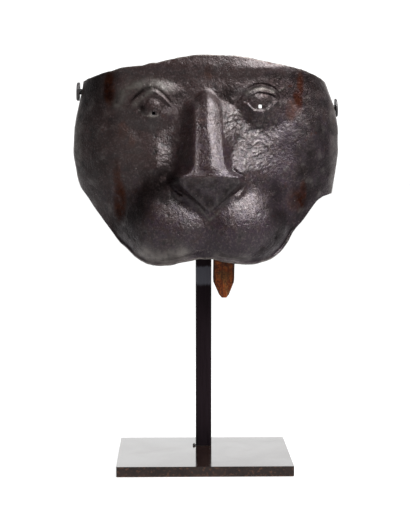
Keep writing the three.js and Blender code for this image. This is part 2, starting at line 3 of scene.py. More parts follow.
import bpy
import numpy as np
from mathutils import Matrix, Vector


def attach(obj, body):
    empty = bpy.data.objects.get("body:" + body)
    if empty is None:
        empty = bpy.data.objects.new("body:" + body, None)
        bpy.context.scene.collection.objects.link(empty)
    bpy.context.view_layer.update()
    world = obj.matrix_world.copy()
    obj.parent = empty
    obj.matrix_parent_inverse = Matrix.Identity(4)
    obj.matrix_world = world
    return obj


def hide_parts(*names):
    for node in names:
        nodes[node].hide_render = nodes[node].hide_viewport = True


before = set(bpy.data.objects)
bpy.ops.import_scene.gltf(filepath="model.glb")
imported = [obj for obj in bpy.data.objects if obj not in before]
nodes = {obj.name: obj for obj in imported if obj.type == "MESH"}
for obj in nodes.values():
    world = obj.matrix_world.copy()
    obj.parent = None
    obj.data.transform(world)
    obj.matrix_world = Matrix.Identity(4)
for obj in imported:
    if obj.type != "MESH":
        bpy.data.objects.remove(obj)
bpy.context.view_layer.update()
scene = bpy.context.scene

# ------------------------------------------------------------------ camera
CAM = Vector((-0.0227, -1.0172, 0.2215))
PITCH, YAW = math.radians(4.61), math.radians(1.33)
LOOK = Vector((math.sin(YAW) * math.cos(PITCH), math.cos(YAW) * math.cos(PITCH), -math.sin(PITCH)))
cam_data = bpy.data.cameras.new("camera")
cam_data.sensor_width = 36.0
cam_data.lens = 36.0 * 1458.4 / 529.0
cam_data.clip_start = 0.01
cam_data.clip_end = 100.0
cam = bpy.data.objects.new("camera", cam_data)
scene.collection.objects.link(cam)
cam.location = CAM
cam.rotation_euler = LOOK.to_track_quat("-Z", "Y").to_euler()
scene.camera = cam

# ------------------------------------------------- shape of the face (mm)
U0 = 2.2
REAR_Y, DEPTH, WRAP = 46.0, 48.0, 2.35
TUCK = 0.045       # the rear edges curl in
WALL = 1.7
ZA = [130, 150, 160, 170, 180, 187, 193, 204, 220, 232, 240, 248, 256, 262, 268, 280, 290]
AL = [68.1, 75.3, 79.4, 83.6, 87.5, 90.2, 92.6, 95.8, 97.8, 97.0, 95.9, 94.3, 92.4, 91.0, 89.9, 87.0, 84.5]
AR = [68.1, 75.3, 80.5, 86.0, 91.0, 93.4, 94.6, 96.4, 98.3, 97.9, 97.1, 95.4, 92.7, 90.4, 88.0, 84.1, 81.5]
KK = [-1, -0.95, -0.9, -0.85, -0.8, -0.75, -0.7, -0.65, -0.6, -0.575, -0.55, -0.5, -0.45, -0.4, -0.35, -0.3, -0.25, -0.2, -0.15, -0.1, -0.05,
      0, 0.05, 0.1, 0.15, 0.2, 0.25, 0.3, 0.35, 0.4, 0.45, 0.48, 0.51, 0.53, 0.55, 0.6, 0.625, 0.65, 0.7, 0.75, 0.8, 0.85, 0.9, 0.95, 1]
ZTOP = [268.6, 268.4, 268.1, 267.9, 268.3, 269.3, 270.1, 271.4, 272.5, 273.0, 273.5, 274.7, 276.0, 276.9, 277.5, 278.0, 279.0, 280.4, 281.8, 283.4, 284.6,
        284.8, 284.7, 284.3, 283.6, 282.7, 281.6, 280.1, 279.1, 278.3, 277.2, 276.6, 276.0, 275.6, 275.2, 273.9, 273.2, 272.6, 271.2, 269.8, 268.4, 267.3, 266.8, 266.7, 266.8]
ZBOT = [201, 199.6, 197.6, 194.8, 190.6, 184.8, 177.9, 170.4, 162.0, 157.3, 154.0, 150.4, 145.7, 142.3, 140.3, 139.3, 139.0, 139.5, 140.7, 142.0, 143.3,
        144.2, 142.9, 141.6, 140.5, 140, 139.9, 140.5, 141.7, 143.3, 147.1, 151.2, 161.0, 165.7, 169.0, 180.6, 183.7, 185.1, 186.6, 187.5, 188.0, 188.4, 188.6, 188.4, 188.0]
NZ = [150, 170, 176, 188, 199.6, 200.6, 206, 212, 225, 240, 250, 255, 258, 261, 266]
NH = [9, 15.6, 17.9, 23.2, 29.2, 29.6, 28.5, 26.3, 20.3, 14, 10.5, 7.8, 4.5, -1, -9]
WZ = [150, 175.6, 181, 188, 194, 198, 200.6, 203, 206, 209, 213, 222, 235, 250, 262]
WW = [0, 0.3, 4.6, 11.6, 17.4, 19.6, 19.8, 15.8, 11.4, 9.2, 8.0, 7.4, 7.0, 7.0, 5.4]


def csp(x, xs, ys):
    xs = np.asarray(xs, float)
    ys = np.asarray(ys, float)
    x = np.clip(x, xs[0], xs[-1])
    d = np.diff(ys) / np.diff(xs)
    m = np.zeros_like(ys)
    m[0], m[-1] = d[0], d[-1]
    for i in range(1, len(xs) - 1):
        m[i] = 0 if d[i - 1] * d[i] <= 0 else 2 * d[i - 1] * d[i] / (d[i - 1] + d[i])
    i = np.clip(np.searchsorted(xs, x, side="right") - 1, 0, len(xs) - 2)
    h = xs[i + 1] - xs[i]
    t = (x - xs[i]) / h
    return (2 * t**3 - 3 * t**2 + 1) * ys[i] + (t**3 - 2 * t**2 + t) * h * m[i] + (-2 * t**3 + 3 * t**2) * ys[i + 1] + (t**3 - t**2) * h * m[i + 1]


def ss(a, b, x):
    t = np.clip((x - a) / (b - a), 0, 1)
    return t * t * (3 - 2 * t)


def g(a, s):
    return np.exp(-((a / s) ** 2))


def smax(a, b, k):
    h = np.clip(0.5 + 0.5 * (a - b) / k, 0, 1)
    return b * (1 - h) + a * h + k * h * (1 - h)


def seg(u, z, x0, z0, x1, z1):
    """distance to a segment"""
    dx, dz = x1 - x0, z1 - z0
    t = np.clip(((u - x0) * dx + (z - z0) * dz) / (dx * dx + dz * dz), 0, 1)
    return np.hypot(u - x0 - t * dx, z - z0 - t * dz)


def poly(u, z, pts):
    d = np.full(np.broadcast(u, z).shape, 1e9)
    for a, b in zip(pts[:-1], pts[1:]):
        d = np.minimum(d, seg(u, z, a[0], a[1], b[0], b[1]))
    return d


# smooth value noise on a seeded lattice
def noise2(x, y, seed, n=256):
    rng = np.random.RandomState(seed)
    L = rng.rand(n, n) * 2 - 1
    xi, yi = np.floor(x).astype(int), np.floor(y).astype(int)
    fx, fy = x - xi, y - yi
    fx = fx * fx * fx * (fx * (fx * 6 - 15) + 10)
    fy = fy * fy * fy * (fy * (fy * 6 - 15) + 10)
    a, b = L[xi % n, yi % n], L[(xi + 1) % n, yi % n]
    c, d = L[xi % n, (yi + 1) % n], L[(xi + 1) % n, (yi + 1) % n]
    return (a * (1 - fx) + b * fx) * (1 - fy) + (c * (1 - fx) + d * fx) * fy


def half(z, s):
    return np.where(np.asarray(s) > 0, csp(z, ZA, AR), csp(z, ZA, AL))


def sx(k):
    return np.sign(k) * np.abs(np.sin(k * math.pi / 2)) ** (2 / WRAP)


def tuck(k, z):
    return np.sign(k) * TUCK * ss(0.8, 1.0, np.abs(k)) * half(z, k)


def wrap_y(u, z):
    q = np.clip(np.abs(u) / half(z, u), 0, 1)
    return REAR_Y - DEPTH * np.power(np.clip(1 - q**WRAP, 0, 1), 1 / WRAP)


def nose_h(u, z):
    w = csp(z, WZ, WW)
    c = csp(z, [176, 200, 225, 246, 259], [1.6, 1.0, 0.6, 0.6, -0.6])
    a = u - c
    w = w + np.where(a < 0, 1.2 * ss(206, 214, z), csp(z, [203, 210, 216, 224, 234, 244], [0, 1.9, 2.1, 1.6, 0.7, 0.0]))
    d = np.maximum(0, np.abs(a) - w)
    zk = [178, 188, 197, 200.6, 203.5, 208, 215, 228, 238, 246, 252, 257, 262]
    kl = csp(z, zk, [1.3, 1.7, 2.6, 4.0, 2.6, 1.9, 1.7, 1.55, 1.45, 1.45, 1.5, 1.7, 1.7])
    kr = csp(z, zk, [1.5, 2.0, 2.8, 4.0, 3.6, 3.2, 2.4, 1.1, 0.78, 0.80, 1.1, 1.8, 2.0])
    k = np.where(a < 0, kl, kr)
    up = ss(200.8, 208, z)
    r = 0.8 + np.where(a < 0, 4.0, 1.6) * up
    # the back of the ridge: nearly flat on one side, turned away on the other
    t = np.clip(a, -w - 4, w + 3) - 1.0
    x0 = (t + 7.5) / 1.2
    x1 = (t + csp(z, [204, 210, 220, 226, 236, 248, 256], [-0.2, -0.8, -0.6, 0.0, 1.5, 1.2, 0.5])) / 1.2
    x2 = (t - csp(z, [204, 208, 215, 225, 235, 246, 256], [6.5, 6.0, 4.6, 3.0, 2.4, 3.2, 4.0])) / 1.5
    turn = -0.06 * t - 0.12 * (x0 + np.sqrt(x0 * x0 + 1)) + 0.32 * (x1 + np.sqrt(x1 * x1 + 1)) + 0.2625 * (x2 + np.sqrt(x2 * x2 + 1))
    zn = z + np.minimum(3.2 * (a / 6.0) ** 2, 7) * ss(245, 257, z)
    return csp(zn, NZ, NH) - 0.1 * up - up * turn - (np.sqrt((k * d) ** 2 + r * r) - r)


def lobe_h(u, z, side):
    du, dz = side * u - (36 if side < 0 else 19), z - 165.5
    q = np.abs(du / np.where(du > 0, 28.0 if side < 0 else 41.0, 70.0 if side < 0 else 56.0)) ** 1.8
    q = q + np.abs(dz / np.where(dz > 0, 38.0, 34.0)) ** 1.7
    return np.where(q < 1, 22.0 * (1 - q) * (1 + 0.35 * q), -32 * (q - 1)) - 0.5


FOLD_L = [(-61, 158), (-52, 174), (-45, 188), (-36, 195), (-29, 199)]
FOLD_R = [(60, 163), (57, 171), (51, 182), (44, 190)]

# eyes, as curves over v = distance from the centre line: crease, upper margin, lower margin
EYES = {
    -1: dict(vc=[20, 24, 28, 32.6, 37.7, 42.7, 46.8, 53.7, 58], zc=[246, 250.4, 255.5, 259.5, 262.0, 261.0, 258.4, 252, 247],
             vm=[20, 24, 29.5, 34.6, 38.7, 41.7, 45.4, 52, 56], zm=[246, 248.9, 252.4, 255.4, 256.0, 254.4, 249.8, 247.3, 245],
             vl=[26, 31.6, 33.6, 38.8, 44.3, 48.4, 53], zl=[248.5, 246.3, 243.2, 242.2, 243.2, 246.5, 248.5],
             ball=(38.2, 248.4, 6.6, 7.6, 1.7), v0=24, v1=53, l0=30, l1=47, lid=0.7, roll=0.35, line=0.45, low=0.35, sink=0.15),
    1: dict(vc=[18, 23.7, 28.3, 33.4, 38, 43.1, 47.2, 52], zc=[251, 257.0, 261.0, 263.6, 264.4, 263.1, 261, 257],
            vm=[20, 25.8, 30.9, 36, 43.6, 49.2, 54], zm=[251, 253.4, 257, 259, 258, 255, 252],
            vl=[22, 27.8, 30.9, 33.9, 38.5, 43.1, 46.2, 52], zl=[253.5, 251.4, 248.4, 246.8, 246.6, 248.4, 251.4, 254.5],
            ball=(38.5, 252.8, 11.5, 6.6, 1.2), v0=22, v1=50, l0=25, l1=49, lid=1.2, roll=0.5, line=0.9, low=1.0, sink=0.8),
}


def eye(v, z, e):
    zc, zm, zl = csp(v, e["vc"], e["zc"]), csp(v, e["vm"], e["zm"]), csp(v, e["vl"], e["zl"])
    win = ss(e["v0"] - 2.5, e["v0"] + 3, v) * (1 - ss(e["v1"] - 4, e["v1"] + 2.5, v))
    low = ss(e["l0"] - 2, e["l0"] + 3, v) * (1 - ss(e["l1"] - 4, e["l1"] + 1.5, v))
    bv, bz, rx, rz, bh = e["ball"]
    h = bh * np.clip(1 - ((v - bv) / rx) ** 2 - ((z - bz) / rz) ** 2, 0, 1) ** (1.5 if bv < 38.4 else 0.8)
    # the opening lies a little deeper than both lids
    inside = ss(zl - 0.2, zl + 1.0, z) * (1 - ss(zm - 0.6, zm + 0.5, z))
    h -= e["sink"] * inside * win * low
    lid = ss(zm - 0.5, zm + 0.5, z) * (1 - ss(zc - 2.4, zc + 0.2, z))
    h += win * (e["lid"] * lid + e["roll"] * g(z - (zc - 2.0), 1.2) - e["line"] * g(z - (zc + 0.3), 0.9))
    h += low * e["low"] * ((1 - ss(zl - 1.0, zl + 1.0, z)) * ss(zl - 6.0, zl - 1.2, z))
    return h


def relief(u, z):
    h = np.zeros(np.broadcast(u, z).shape)
    au = np.abs(u)
    # band along the top edge, hollow under it
    zb = csp(u, [-90, -57, -32, 0, 30, 50, 65, 90], [272, 273, 272.5, 271.2, 271.2, 271.6, 270.4, 267])
    side = 1 - ss(62, 84, au)
    h += side * ((1.1 + 0.8 * g(u - 36, 20)) * g(z - (zb + 5.0), 5.5) - 1.1 * g(z - (zb - 3.0), 6.0))
    h -= (3.6 * g(u - 41, 15)) * ss(zb + 3.5, zb + 13, z)
    for sd in (-1, 1):
        v = sd * u
        left = sd < 0
        zc0 = 249.5 if left else 252.5
        # socket mound: full on the left, flatter on the right
        m = 1 - (np.abs(v - 38) / 28) ** 2.2 - (np.abs(z - (zc0 + 1)) / 19) ** 2.2
        h += (3.6 if left else 1.0) * ss(0, 0.85, m)
        # hollow beside the nose root
        h -= (2.2 if left else 0.8) * np.exp(-(((v - 18.5) / 7.5) ** 2 + ((z - zc0 - 1) / 10) ** 2))
        # cheek beside the nose, outer cheek
        vi = v - (35.5 if left else csp(z, [195, 205, 216, 228, 240], [25, 21, 17, 13, 11]))
        zz = z - 206
        # the cheek rises from the valley under the eye
        top = 38.0 if left else np.where(v < 36, 28 + 0.75 * (36 - np.clip(v, 10, 36)), 28 + 0.35 * np.clip(v - 36, 0, 20))
        prof = np.where(zz > 0, 1 - ss(-4 / 33 * top, top, zz), np.exp(-(zz / 22) ** 2) * (1 - ss(-4, 33, 0.0)))
        h += (9.0 if left else 11.5) * np.exp(-(vi / np.where(vi < 0, 8.0 if left else 30.0, 20 if left else 25)) ** 2) * prof
        h += 2.0 * np.exp(-(((v - 19) / 12) ** 2 + ((z - 208) / 20) ** 2))
        h += 2.5 * np.exp(-(((v - 66) / 16) ** 2 + ((z - 222) / 26) ** 2))
        # eye bag: a dome round the eye reaching down to a V-shaped valley
        zv = (231.0 if sd > 0 else 229.5) + np.where(v < 36, 0.75 * (36 - v), 0.40 * (v - 36)) + 1.6 * g(v - 36, 4)
        ex = ss(14, 24, v) * (1 - ss(48, 64, v)) * (1.0 if sd > 0 else 0.6)
        h -= (1.8 * g(z - zv, 6.0) - 0.6 * g(z - zv + 10, 7)) * ex
        a, b = v - 38, z - zc0
        rb = np.where(b > 0, 11.0 if sd > 0 else 13.0, 19.0 if sd > 0 else 24.0)
        ra = (17.0 if sd > 0 else 19.0) - 3.0 * ss(-3, 6, b)
        q = (a / ra) ** 2 + (b / rb) ** 2
        h += (4.2 if sd > 0 else 1.6) * (1 - ss(0, 1.15, q) ** 0.8)
        h += eye(v, z, EYES[sd])
    # left brow roll above the lid crease
    zr = csp(-u, [16, 24, 36.6, 52, 60.5, 66], [254, 258.5, 264.0, 261.5, 256, 248])
    h += 1.0 * g(z - zr, 3.6) * ss(22, 38, -u) * (1 - ss(60, 72, -u))
    # the left eye's slanting crease beside the ball
    h -= 0.55 * g(seg(-u, z, 46.2, 247.6, 41.2, 254.4), 1.1)
    h += 0.35 * g(seg(-u, z, 43.0, 247.6, 39.6, 253.4), 1.0)
    # the right eye's outer crease, a small bump at its inner corner
    h += 0.35 * g(seg(u, z, 50.3, 260.6, 54.6, 262.9), 0.9)
    h += 1.0 * np.exp(-(((u - 17.6) / 1.6) ** 2 + ((z - 253.4) / 2.0) ** 2))
    # muzzle
    lobes = smax(lobe_h(u, z, -1), lobe_h(u, z, 1), 3.0)
    bridge = 27.0 * np.exp(-((np.abs(u - 0.9) / 27) ** 2 + ((z - 192) / 22) ** 2)) - 2
    kk = 5.0 + 5.0 * ss(172, 190, z)
    h = smax(h, smax(lobes, bridge, 6), kk)
    h -= 1.9 * g(u - 0.2, 6.5) * (1 - ss(170, 180, z))
    h = smax(h, nose_h(u, z), 1.2 + 4.5 * ss(201, 210, z) + 3.5 * ss(2, 10, u) * ss(204, 212, z) * (1 - ss(232, 244, z)))
    # lit rims of the lobes along the pad's lower edges
    vrim = poly(u, z, [(-9.5, 184.5), (-3.2, 177.8), (0.9, 172.5), (1.6, 172.0), (8.0, 178.2), (12.5, 184)])
    h += 0.35 * g(vrim, 1.5)
    h += 4.2 * np.exp(-(((u + 26.5) / 5) ** 2 + ((z - 192.5) / 6.5) ** 2)) 
    # soft folds outside the lobes
    for line, wd, dp in ((FOLD_L, 7.0, 1.6), (FOLD_R, 6.0, 1.2)):
        h -= dp * g(poly(u, z, line), wd)
    # nostril wings and recesses at the pad's upper corners
    for sd in (-1, 1):
        w = poly(sd * (u - 1.0), z, [(19.0, 206.5), (23.4, 203), (25.2, 198), (23.6, 192), (20.0, 187.5)])
        h += (1.6 if sd < 0 else 1.2) * g(w, 2.0)
        w = poly(sd * (u - 1.0), z, [(21.0, 201.0), (22.2, 197), (20.4, 192)])
        h -= (0.25 if sd < 0 else 0.6) * g(w, 1.2)
    # turned lower rim
    e = z - np.interp(u, EDGE_U, EDGE_Z)
    lim = (1 - ss(58, 66, au)) * ss(2, 10, au)
    h += lim * (1.2 * g(e - 0.8, 1.2) - 0.8 * g(e - 3.5, 1.5))
    return h


_k = np.linspace(-0.66, 0.6, 500)
_z = csp(_k, KK, ZBOT)
EDGE_U = sx(_k) * half(_z, _k)
EDGE_Z = _z


def face_y(u, z):
    return wrap_y(u, z) - relief(u, z) * (1 - ss(72, 88, np.abs(u)))


# ---------------------------------------------------------- mesh of the plate
NU, NV = 320, 232      # outer cells, both even


def make_columns(n):
    ks = np.linspace(-1, 1, 4001)
    a = sx(ks) * 94
    y = wrap_y(a, np.full_like(a, 222.0))
    ds = np.hypot(np.diff(a), np.diff(y))
    mid = np.abs((a[1:] + a[:-1]) / 2)
    w = np.where(mid < 56, 1.3, np.where(mid < 70, 1.0, 0.6))
    acc = np.concatenate([[0], np.cumsum(ds * w)])
    arc = np.concatenate([[0], np.cumsum(ds)])
    k = np.interp(np.linspace(0, acc[-1], n + 1), acc, ks)
    s = np.interp(k, ks, arc) - arc[-1] / 2
    return k, s


def warp_holes(U, Z, cells):
    """Moves the grid near each sight hole so that a block of cells becomes a round hole. Returns the blocks."""
    blocks = []
    for cu, cz, r in HOLES:
        d = (U - cu) ** 2 + (Z - cz) ** 2
        i0, j0 = np.unravel_index(np.argmin(d), d.shape)
        i0, j0 = 2 * (i0 // 2), 2 * (j0 // 2)
        sh_u, sh_z = cu - U[i0, j0], cz - Z[i0, j0]
        w = np.exp(-(d / 7.0**2))
        U += sh_u * w
        Z += sh_z * w
        c = cells
        R = 3 * c
        U2, Z2 = U.copy(), Z.copy()
        for i in range(i0 - R, i0 + R + 1):
            for j in range(j0 - R, j0 + R + 1):
                di, dj = i - i0, j - j0
                m = max(abs(di), abs(dj))
                if m == 0:
                    continue
                ang = math.atan2(dj, di)
                # square ring m -> circle ring, blended back to the grid outside
                rr = r * m / c if m <= c else r + (m - c) * (math.hypot(U[i0 + R, j0] - cu, 0) - r) / (R - c)
                f = 1.0 if m <= c else 1 - ((m - c) / (R - c)) ** 2
                U2[i, j] = U[i, j] * (1 - f) + (cu + rr * math.cos(ang)) * f
                Z2[i, j] = Z[i, j] * (1 - f) + (cz + rr * math.sin(ang)) * f
        U[:], Z[:] = U2, Z2
        blocks.append((i0, j0, c))
    return blocks


HOLES = [(-37.0, 244.5, 1.5), (37.0, 249.4, 1.6)]
K, S = make_columns(NU)
zb_, zt_ = csp(K, KK, ZBOT), csp(K, KK, ZTOP)
# irregular hand-cut edge
zt_ = zt_ + 0.35 * noise2(S / 7.0, 0 * S + 3.3, 5) + 0.18 * noise2(S / 2.2, 0 * S + 1.3, 6)
zb_ = zb_ + 0.30 * noise2(S / 8.0, 0 * S + 7.3, 7) + 0.15 * noise2(S / 2.5, 0 * S + 9.3, 8)
T = np.linspace(0, 1, NV + 1)
Zg = np.zeros((NU + 1, NV + 1))
for i in range(NU + 1):
    Zg[i] = zb_[i] + (zt_[i] - zb_[i]) * T
Kg = np.repeat(K[:, None], NV + 1, 1)
Ug = sx(Kg) * half(Zg, Kg)
BLOCKS = warp_holes(Ug, Zg, 2)


def surface_point(U, Z):
    return np.stack([U + U0 - tuck(Kg, Z), face_y(U, Z), Z], -1)


def grid_normals(P, passes=0):
    du = np.empty_like(P)
    dv = np.empty_like(P)
    du[1:-1] = P[2:] - P[:-2]
    du[0], du[-1] = P[1] - P[0], P[-1] - P[-2]
    dv[:, 1:-1] = P[:, 2:] - P[:, :-2]
    dv[:, 0], dv[:, -1] = P[:, 1] - P[:, 0], P[:, -1] - P[:, -2]
    n = np.cross(du, dv)
    n /= np.linalg.norm(n, axis=-1, keepdims=True)
    for _ in range(passes):
        q = np.pad(n, ((1, 1), (1, 1), (0, 0)), mode="edge")
        n = 2 * n + q[2:, 1:-1] + q[:-2, 1:-1] + q[1:-1, 2:] + q[1:-1, :-2]
        n /= np.linalg.norm(n, axis=-1, keepdims=True)
    return n


P = surface_point(Ug, Zg)
Nn = grid_normals(P, 1)
Sg = np.repeat(S[:, None], NV + 1, 1)
# hammered and pitted iron: smooth on the muzzle, crackled on the cheeks beside the nose and over the nose root
cheek = np.exp(-(((Ug - 32) / 17) ** 2 + ((Zg - 222) / 22) ** 2)) + 0.9 * np.exp(-(((Ug - 16) / 7) ** 2 + ((Zg - 240) / 14) ** 2))
cheek *= 1 - 0.85 * ss(4, -2, Ug - 10) * ss(255, 246, Zg)
cheek += 0.5 * np.exp(-(((Ug + 30) / 9) ** 2 + ((Zg - 222) / 20) ** 2)) + 0.5 * np.exp(-(((Ug - 47) / 12) ** 2 + ((Zg - 240) / 8) ** 2))
calm = 1 - 0.85 * np.exp(-(((np.abs(Ug) - 27) / 22) ** 2 + ((Zg - 170) / 26) ** 2))
calm *= 1 - 0.6 * ss(14, 8, np.abs(Ug - 1)) * ss(203, 206, Zg) * (1 - 0.7 * ss(243, 252, Zg))
calm *= 1 - 0.45 * ss(254, 262, Zg) * (1 - ss(268, 272, Zg))
ham = calm * (0.24 * noise2(Sg / 9 + 11, Zg / 9 + 5, 11) + 0.12 * noise2(Sg / 4.2 + 3, Zg / 4.2, 12)) + 0.06 * noise2(Sg / 1.9, Zg / 1.9 + 9, 13)
rough = 0.21 * noise2(Sg / 3.6, Zg / 2.6 + 7, 14) + 0.24 * noise2(Sg / 1.8, Zg / 1.4 + 2, 15) + 0.14 * noise2(Sg / 1.1, Zg / 1.0 + 2, 16)
disp = ham + cheek * rough
# small pits of the whiskers on the muzzle, and stray pits
for pu, pz, pr, pd in ((-27, 175, 1.0, 0.45), (-30, 155.5, 1.3, 0.55), (35, 175.7, 1.1, 0.45), (-43, 163, 1.0, 0.6), (48, 159, 1.2, 0.6), (-20, 163, 0.9, 0.5),
                       (22, 160, 0.9, 0.5), (-38, 170, 0.9, 0.5), (41, 168, 0.9, 0.5)):
    disp -= pd * np.exp(-(((Ug - pu) / pr) ** 2 + ((Zg - pz) / pr) ** 2))
_r = np.random.RandomState(77)
for _ in range(260):
    pu, pz, pr = _r.uniform(-72, 72), _r.uniform(150, 272), _r.uniform(0.45, 0.9)
    disp -= _r.uniform(0.10, 0.30) * np.exp(-(((Ug - pu) / pr) ** 2 + ((Zg - pz) / pr) ** 2))
P = P + Nn * disp[..., None]
Nn = grid_normals(P, 0)
Nsm = grid_normals(P, 30)
Q = P - Nsm * WALL
# masks for the finish: bare worn rim, also painted paler as a reflection of the floor, rubbed high places
edge_d = np.minimum(np.minimum(Zg - zb_[:, None], zt_[:, None] - Zg), 1e3)
low_d = Zg - zb_[:, None]
hb = disp
blur = hb.copy()
for _ in range(60):
    q = np.pad(blur, 1, mode="edge")
    blur = 0.5 * blur + 0.125 * (q[2:, 1:-1] + q[:-2, 1:-1] + q[1:-1, 2:] + q[1:-1, :-2])
MASKS = {
    "worn_rim_and_reflection": np.clip(1 - low_d / 1.6, 0, 1) * (1 - ss(60, 76, np.abs(Ug))) + 0.5 * np.clip(1 - (zt_[:, None] - Zg) / 1.2, 0, 1),
    "high": np.clip((hb - blur) / 0.32, -1, 1),
    # where the hammering and scale are coarse
    "coarse": np.clip(0.45 + cheek, 0, 1),
}
# painted shade, with some grime in the folds: darker, duller skin in the folds, on the temples and down the sides,
# along the eye creases, beside the eyeballs, low on the lobes and over patches of the brow and cheeks
grime_and_painted_shade = 1.0 * g(poly(Ug, Zg, FOLD_L), 9.0) + 0.75 * g(poly(Ug, Zg, [(58, 158), (54, 170), (48, 180), (46, 188)]), 8.5)
grime_and_painted_shade += ss(56, 70, -Ug) * (0.25 + 0.60 * ss(245, 258, Zg)) + ss(56, 66, Ug - 5 * g(Zg - 244, 12)) * 0.6
grime_and_painted_shade += 1.1 * np.exp(-np.abs((Ug - 51) / 18) ** 3 - np.abs((Zg - 261) / 10.5) ** 3) + 0.7 * np.exp(-(((Ug - 16) / 7) ** 2 + ((Zg - 259) / 6) ** 2))
grime_and_painted_shade += 0.5 * np.exp(-(((Ug + 21) / 7) ** 2 + ((Zg - 256) / 11) ** 2))
for sd, e in EYES.items():
    zc = csp(sd * Ug, e["vc"], e["zc"])
    win = ss(e["v0"] - 2, e["v0"] + 3, sd * Ug) * (1 - ss(e["v1"] - 3, e["v1"] + 3, sd * Ug))
    grime_and_painted_shade += (0.9 if sd < 0 else 0.35) * g(Zg - zc - 0.4, 1.3) * win
    bv, bz, rx, rz, _h = e["ball"]
    grime_and_painted_shade += (0.8 if sd < 0 else 0.4) * np.exp(-(((sd * Ug - bv - (6.5 if sd < 0 else -7)) / 2.2) ** 2 + ((Zg - bz) / 3.5) ** 2))
grime_and_painted_shade += 0.75 * g(poly(Ug, Zg, [(36, 147), (44, 153), (49, 160)]), 4.5) + 0.45 * np.exp(-(((Ug + 54) / 7) ** 2 + ((Zg - 157) / 6) ** 2))
grime_and_painted_shade += 0.3 * noise2(Sg / 6, Zg / 6 + 1, 31) * (grime_and_painted_shade > 0.1)
grime_and_painted_shade += 0.20 * np.exp(-(((Ug + 36) / 14) ** 2 + ((Zg - 248) / 9) ** 2)) + 0.20 * np.exp(-(((Ug - 28) / 16) ** 2 + ((Zg - 266) / 6) ** 2))
grime_and_painted_shade += 0.15 * np.exp(-(((Ug - 32) / 17) ** 2 + ((Zg - 222) / 18) ** 2))
MASKS["grime_and_painted_shade"] = np.clip(grime_and_painted_shade, 0, 1)
# painted highlight: paler skin along the brow on one side and on the lids
painted_highlight = 0.9 * g(poly(Ug, Zg, [(-62, 252), (-58, 259.5), (-51, 263.8), (-38, 265.6), (-27, 263)]), 4.0)
painted_highlight += 0.8 * g(poly(Ug, Zg, [(-50, 250.5), (-44, 256.5), (-38.5, 259)]), 1.8) + 1.0 * g(poly(Ug, Zg, [(27, 258.3), (33, 261.3), (40, 262), (46.5, 259.6)]), 1.2)
painted_highlight += 0.8 * g(seg(Ug, Zg, 50.3, 260.2, 54.6, 262.6), 0.6)
painted_highlight += 0.6 * g(poly(Ug, Zg, [(-47, 246.6), (-43.5, 243.6), (-38.8, 242.0), (-34, 242.8)]), 0.9)
# painted reflection: paler along the lobes' lower edges, more on the left, and down both outer sides; a painted glint
# round the left sight hole and along its lower lid
low = 1.0 * g(poly(Ug, Zg, [(-43, 148.5), (-38, 145.5), (-28, 144.5), (-16, 148)]), 4.6) + 0.45 * g(poly(Ug, Zg, [(6, 147), (20, 144.5), (28, 145)]), 2.6)
low += 0.28 * ss(86.5, 89.5, np.abs(Ug)) * ss(160, 170, Zg)
low += 1.0 * np.exp(-(((Ug + 38.6) / 1.1) ** 2 + ((Zg - 244.2) / 1.2) ** 2)) + 0.6 * g(poly(Ug, Zg, [(-40.2, 243.2), (-37, 242.3), (-33.6, 243.2)]), 0.5)
MASKS["painted_reflection"] = np.clip(low * (0.85 + 0.4 * noise2(Sg / 3, Zg / 3, 43)), 0, 1)
# painted highlight along the pad's lower rims and along its top edge
painted_highlight += 0.8 * g(poly(Ug, Zg, [(-6.5, 181.2), (-3.2, 177.2), (0.9, 171.9), (1.6, 171.6), (8.0, 177.6)]), 0.9)
painted_highlight += 0.75 * g(Zg - 200.4, 0.55) * ss(21, 18, np.abs(Ug - 1)) * (0.6 + 0.8 * noise2(Sg / 2.0, Zg / 6, 47))
# painted glints on the nose pad: pale specks, a little paler towards its upper left, and painted shade over the pad
pad_m = ss(19, 15, np.abs(Ug - 1) + np.clip(196 - Zg, 0, 40) * 0.72) * ss(200.5, 199, Zg) * ss(174, 178, Zg)
painted_highlight += pad_m * (0.55 * np.clip(noise2(Sg / 1.3, Zg / 1.3, 51) - 0.1, 0, 1) + 0.10 * np.clip(0.2 - (Ug - 1) / 30 + (Zg - 190) / 30, 0, 1))
# painted highlight on the left cheek and far out on the right side
painted_highlight += 0.16 * np.exp(-(((Ug + 52) / 14) ** 2 + ((Zg - 220) / 18) ** 2)) + 0.10 * np.exp(-(((Ug - 72) / 10) ** 2 + ((Zg - 215) / 22) ** 2))
# painted shade over the nose pad
MASKS["grime_and_painted_shade"] = np.clip(MASKS["grime_and_painted_shade"] + pad_m * (0.17 + 0.55 * noise2(Sg / 3.2, Zg / 3.2, 57)), 0, 1)
MASKS["painted_highlight"] = np.clip(painted_highlight * (0.8 + 0.5 * noise2(Sg / 2.5, Zg / 2.5, 41)), 0, 1)
# inner wall on every second grid line, eased
Qi = Q[::2, ::2].copy()
Pi, Ni = P[::2, ::2], Nsm[::2, ::2]
for _ in range(4):
    s = Qi.copy()
    s[1:-1, 1:-1] = 0.5 * Qi[1:-1, 1:-1] + 0.125 * (Qi[2:, 1:-1] + Qi[:-2, 1:-1] + Qi[1:-1, 2:] + Qi[1:-1, :-2])
    along = ((Pi - s) * Ni).sum(-1)
    Qi = s + Ni * (along - np.clip(along, WALL * 0.8, WALL * 1.5))[..., None]


